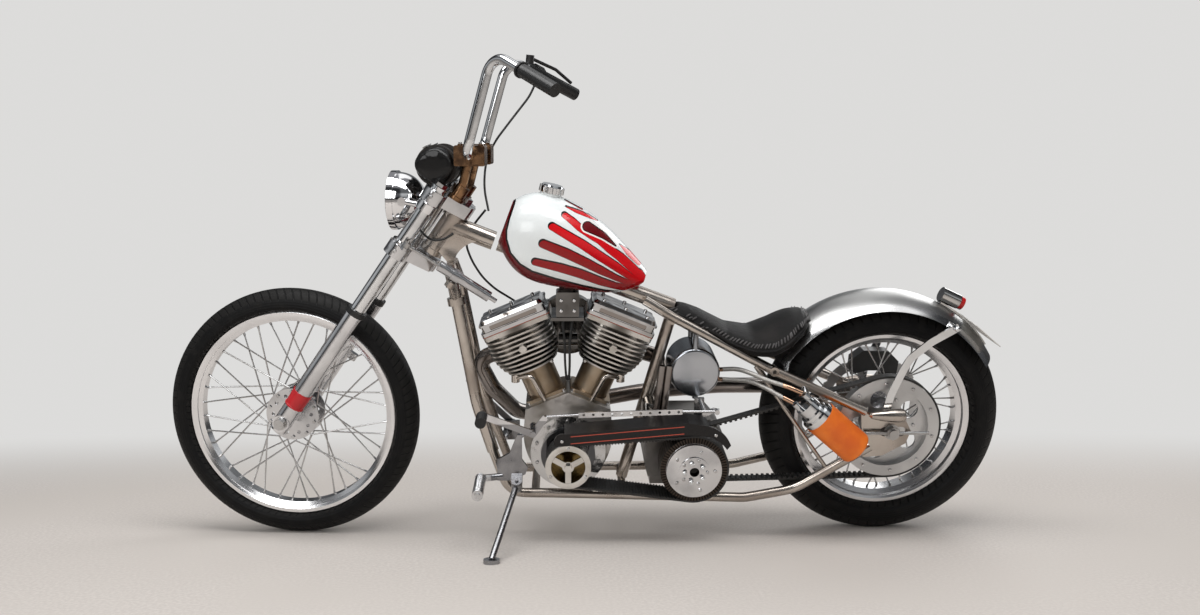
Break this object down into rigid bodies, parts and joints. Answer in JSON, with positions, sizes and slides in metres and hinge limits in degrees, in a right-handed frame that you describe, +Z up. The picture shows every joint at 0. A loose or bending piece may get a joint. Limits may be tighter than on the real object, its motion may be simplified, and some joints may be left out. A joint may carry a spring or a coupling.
{
  "type": "chopper motorcycle",
  "caption": "Rigid-frame chopper leaning on its side stand: long raked fork, finned V-twin, open belt primary, laced wheels, scalloped tank, thin leather seat.",
  "frame": {"origin": "on the floor, under the middle of the parked machine's bounding box", "axes": "+X forward towards the front wheel, +Y to the machine's left, the side it leans to, +Z up from the floor"},
  "size_m": [2.2547, 0.7798, 1.297],
  "materials": {
    "tyre": "matte",
    "polished_rim": "polished",
    "stainless": "polished",
    "chrome": "polished",
    "polished_alloy": "polished",
    "frame_nickel": "satin",
    "case_alloy": "satin",
    "fin_alloy": "satin",
    "dark_chrome": "polished",
    "tank_paint": "gloss",
    "black_paint": "satin",
    "belt_rubber": "matte",
    "grip_rubber": "matte",
    "seat_leather": "satin",
    "pouch_leather": "satin",
    "aged_brass": "satin",
    "filter_paint": "gloss",
    "fender_metal": "polished",
    "pipe_metal": "polished",
    "cable_sheath": "satin",
    "lamp_grey": "satin"
  },
  "bodies": {
    "chassis": {"axle_plates": "frame_nickel", "backbone": "frame_nickel", "belt_guard": "black_paint", "breather_stacks": "pipe_metal", "cam_cover": "case_alloy", "carburettor": "dark_chrome", "clutch": "polished_alloy", "crankcase": "case_alloy", "cylinders": "fin_alloy", "drive_belt": "belt_rubber", "engine_top_mount": "chrome", "exhaust": "pipe_metal", "fender_struts": "chrome", "filler_cap": "chrome", "filter_head": "chrome", "front_downtubes": "frame_nickel", "fuel_tank": "tank_paint", "left_foot_control": "stainless", "lower_rails": "frame_nickel", "oil_filter": "filter_paint", "oil_lines": "stainless", "oil_tank": "polished_alloy", "primary_belt": "belt_rubber", "primary_pulley": "polished_alloy", "rear_axle": "stainless", "rear_caliper": "black_paint", "rear_fender": "fender_metal", "right_foot_control": "stainless", "rocker_boxes": "chrome", "seat": "seat_leather", "seat_post": "frame_nickel", "shift_linkage": "stainless", "tail_light": "lamp_grey", "throttle_cable_lower": "cable_sheath", "transmission": "case_alloy", "upper_rails": "frame_nickel"},
    "steering": {"steering_trees": "polished_alloy", "fork_tubes": "chrome", "fork_sliders": "polished_alloy", "front_axle": "stainless", "headlight": "chrome", "risers": "aged_brass", "handlebar": "chrome", "grips": "grip_rubber", "pouch": "pouch_leather", "throttle_cable_upper": "cable_sheath", "wiring_loop": "cable_sheath"},
    "front_wheel": {"front_tyre": "tyre", "front_rim": "polished_rim", "front_spokes": "stainless", "front_hub": "polished_alloy"},
    "rear_wheel": {"rear_tyre": "tyre", "rear_rim": "polished_rim", "rear_spokes": "stainless", "rear_hub": "polished_alloy", "rear_pulley": "polished_alloy", "rear_brake_disc": "stainless"},
    "damper_body": {"damper_body": "case_alloy"},
    "damper_rod": {"damper_rod": "stainless"},
    "side_stand": {"stand_leg": "stainless"}
  },
  "joints": [
    {"name": "steering", "type": "hinge", "parent": "chassis", "child": "steering", "pos_m": [0.37805, 0.01957, 0.81464], "axis": [-0.5664, 0.1854, 0.803], "range_deg": [-18.5, 31.5]},
    {"name": "front_wheel_spin", "type": "hinge", "parent": "steering", "child": "front_wheel", "pos_m": [0.78968, -0.0981, 0.33514], "axis": [0.0933, 0.9825, -0.161], "continuous": true},
    {"name": "rear_wheel_spin", "type": "hinge", "parent": "chassis", "child": "rear_wheel", "pos_m": [-0.8, -0.09441, 0.3209], "axis": [0, 0.9744, -0.225], "continuous": true},
    {"name": "damper_swing", "type": "hinge", "parent": "chassis", "child": "damper_body", "pos_m": [0.33663, 0.10811, 0.70022], "axis": [-0.5664, 0.1854, 0.803], "range_deg": [-10, 16]},
    {"name": "damper_slide", "type": "slide", "parent": "damper_body", "child": "damper_rod", "axis": [0.8208, 0.2148, 0.5293], "range_m": [-0.069, 0.041]},
    {"name": "side_stand_swing", "type": "hinge", "parent": "chassis", "child": "side_stand", "pos_m": [0.186, 0.04018, 0.15708], "axis": [0, 0.6376, 0.7703], "range_deg": [0, 80]}
  ],
  "couplings": [
    {"joint": "damper_swing", "follows": "steering", "ratio": 0.465},
    {"joint": "damper_slide", "follows": "steering", "m_per_rad": -0.122}
  ]
}
